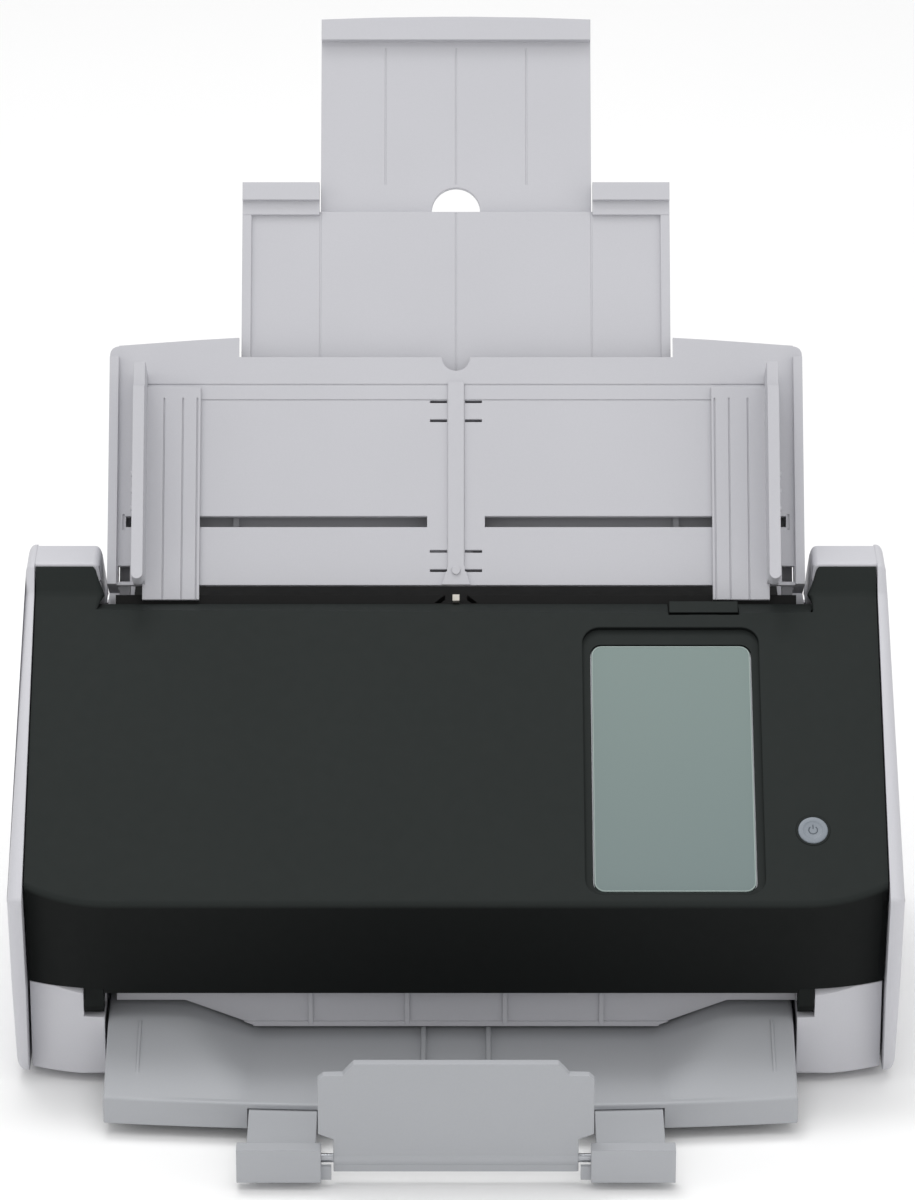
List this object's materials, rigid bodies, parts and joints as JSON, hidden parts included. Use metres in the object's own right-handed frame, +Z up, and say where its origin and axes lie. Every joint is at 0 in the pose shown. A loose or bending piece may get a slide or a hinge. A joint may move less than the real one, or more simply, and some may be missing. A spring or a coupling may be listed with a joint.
{
  "type": "sheet fed document scanner",
  "caption": "Desktop sheet fed document scanner: wedge body with a hinged front cover and display, sloping paper chute with pull-out extensions, and a stacker with a folding stopper.",
  "frame": {"origin": "on the desk under the middle of the body, halfway between its sides", "axes": "+X to the right seen from the front, +Y to the rear, +Z up"},
  "size_m": [0.3, 0.3023, 0.3052],
  "materials": {
    "shell_grey": "fine mould grain",
    "panel_dark": "fine mould grain",
    "chute_grey": "satin",
    "tray_grey": "satin",
    "display_glass": "gloss",
    "button_grey": "satin",
    "inner_dark": "matt",
    "steel": "brushed",
    "rubber": "matt",
    "nylon": "matt",
    "board": "solder mask",
    "scan_glass": "polished"
  },
  "bodies": {
    "body": {"base_tray": "shell_grey", "right_side_cover": "shell_grey", "left_side_cover": "shell_grey", "rear_cover": "shell_grey", "rear_ports": "inner_dark", "rubber_feet": "rubber", "case_screws": "steel", "exit_guide": "shell_grey", "right_frame_plate": "steel", "left_frame_plate": "steel", "frame_beam": "steel", "shaft_bushings": "nylon", "idler_posts": "steel", "drive_motor": "steel", "lower_feed_guide": "inner_dark", "lower_scan_unit": "inner_dark", "lower_scan_glass": "scan_glass", "control_board": "board", "board_standoffs": "steel", "hinge_pins": "steel", "chute": "chute_grey", "chute_back": "chute_grey", "pinion_screw": "steel"},
    "front_cover": {"adf_cover": "panel_dark", "cover_inner_guide": "inner_dark", "display_glass": "display_glass", "lcd_module": "steel", "display_board": "board", "button_ring": "panel_dark", "button_switch": "inner_dark", "upper_scan_unit": "inner_dark", "upper_scan_glass": "scan_glass", "cover_bearings": "nylon"},
    "power_key": {"power_button": "button_grey"},
    "latch": {"open_tab": "panel_dark", "latch_rod": "steel", "latch_hooks": "nylon"},
    "brake": {"brake_roller": "rubber"},
    "feed_pinch": {"feed_pinch_rollers": "rubber"},
    "eject_pinch": {"eject_pinch_rollers": "rubber"},
    "pick_shaft": {"pick_roller": "rubber", "pick_gear": "nylon"},
    "feed_shaft": {"feed_roller": "rubber", "feed_gear": "nylon"},
    "eject_shaft": {"eject_roller": "rubber", "eject_gear": "nylon"},
    "small_idler": {"small_idler_gear": "nylon"},
    "large_idler": {"large_idler_gear": "nylon"},
    "motor_rotor": {"motor_pinion": "steel", "motor_shaft": "steel"},
    "paper_sensor": {"sensor_lever": "nylon"},
    "extension_1": {"chute_extension_1": "chute_grey"},
    "extension_2": {"chute_extension_2": "chute_grey"},
    "right_guide": {"right_paper_guide": "chute_grey"},
    "left_guide": {"left_paper_guide": "chute_grey"},
    "pinion": {"guide_pinion": "nylon"},
    "stacker_tray": {"stacker": "tray_grey"},
    "stacker_slide": {"stacker_extension": "tray_grey", "stopper_pin": "steel"},
    "stopper_plate": {"stopper": "tray_grey"}
  },
  "joints": [
    {"name": "cover_open", "type": "hinge", "parent": "body", "child": "front_cover", "pos_m": [0, -0.076, 0.03], "axis": [1, 0, 0], "range_deg": [0, 50]},
    {"name": "power_press", "type": "slide", "parent": "front_cover", "child": "power_key", "axis": [0, 0.5807, -0.8141], "range_m": [0, 0.0008], "stiffness_N_per_m": 600, "springref_m": -0.0002},
    {"name": "latch_release", "type": "hinge", "parent": "front_cover", "child": "latch", "pos_m": [0, 0.00093, 0.12471], "axis": [1, 0, 0], "range_deg": [0, 2.5]},
    {"name": "brake_turn", "type": "hinge", "parent": "front_cover", "child": "brake", "pos_m": [0, -0.00837, 0.11293], "axis": [1, 0, 0], "continuous": true},
    {"name": "feed_pinch_turn", "type": "hinge", "parent": "front_cover", "child": "feed_pinch", "pos_m": [0, -0.02527, 0.08813], "axis": [1, 0, 0], "continuous": true},
    {"name": "eject_pinch_turn", "type": "hinge", "parent": "front_cover", "child": "eject_pinch", "pos_m": [0, -0.05231, 0.05092], "axis": [1, 0, 0], "continuous": true},
    {"name": "feed_turn", "type": "hinge", "parent": "body", "child": "feed_shaft", "pos_m": [0, -0.01516, 0.08078], "axis": [1, 0, 0], "continuous": true},
    {"name": "pick_turn", "type": "hinge", "parent": "body", "child": "pick_shaft", "pos_m": [0, 0.00409, 0.10388], "axis": [1, 0, 0], "continuous": true},
    {"name": "eject_turn", "type": "hinge", "parent": "body", "child": "eject_shaft", "pos_m": [0, -0.04301, 0.04416], "axis": [1, 0, 0], "continuous": true},
    {"name": "small_idler_turn", "type": "hinge", "parent": "body", "child": "small_idler", "pos_m": [0, 0.0046, 0.08389], "axis": [1, 0, 0], "continuous": true},
    {"name": "large_idler_turn", "type": "hinge", "parent": "body", "child": "large_idler", "pos_m": [0, -0.01376, 0.05082], "axis": [1, 0, 0], "continuous": true},
    {"name": "motor_turn", "type": "hinge", "parent": "body", "child": "motor_rotor", "pos_m": [0, 0.0088, 0.04261], "axis": [1, 0, 0], "continuous": true},
    {"name": "sensor_swing", "type": "hinge", "parent": "body", "child": "paper_sensor", "pos_m": [0, 0.02008, 0.13405], "axis": [1, 0, 0], "range_deg": [-25, 0]},
    {"name": "extension_1_slide", "type": "slide", "parent": "body", "child": "extension_1", "axis": [0, 0.5878, 0.809], "range_m": [-0.06, 0]},
    {"name": "extension_2_slide", "type": "slide", "parent": "extension_1", "child": "extension_2", "axis": [0, 0.5878, 0.809], "range_m": [-0.06, 0]},
    {"name": "right_guide_slide", "type": "slide", "parent": "body", "child": "right_guide", "axis": [1, 0, 0], "range_m": [-0.08, 0]},
    {"name": "left_guide_slide", "type": "slide", "parent": "body", "child": "left_guide", "axis": [-1, 0, 0], "range_m": [-0.08, 0]},
    {"name": "pinion_turn", "type": "hinge", "parent": "body", "child": "pinion", "pos_m": [0, 0.032, 0.15956], "axis": [0, -0.809, 0.5878], "range_deg": [-5, 578]},
    {"name": "stacker_slide", "type": "slide", "parent": "body", "child": "stacker_tray", "axis": [0, -1, 0], "range_m": [-0.033, 0]},
    {"name": "stacker_extension_slide", "type": "slide", "parent": "stacker_tray", "child": "stacker_slide", "axis": [0, -1, 0], "range_m": [-0.024, 0]},
    {"name": "stopper_fold", "type": "hinge", "parent": "stacker_slide", "child": "stopper_plate", "pos_m": [0, -0.1475, 0.0093], "axis": [1, 0, 0], "range_deg": [-90, 0]}
  ],
  "couplings": [
    {"joint": "pick_turn", "follows": "feed_turn", "ratio": 1},
    {"joint": "eject_turn", "follows": "feed_turn", "ratio": 1},
    {"joint": "small_idler_turn", "follows": "feed_turn", "ratio": -1.5},
    {"joint": "large_idler_turn", "follows": "feed_turn", "ratio": -0.66667},
    {"joint": "motor_turn", "follows": "feed_turn", "ratio": 2},
    {"joint": "left_guide_slide", "follows": "right_guide_slide", "ratio": 1},
    {"joint": "pinion_turn", "follows": "right_guide_slide", "rad_per_m": -125}
  ]
}
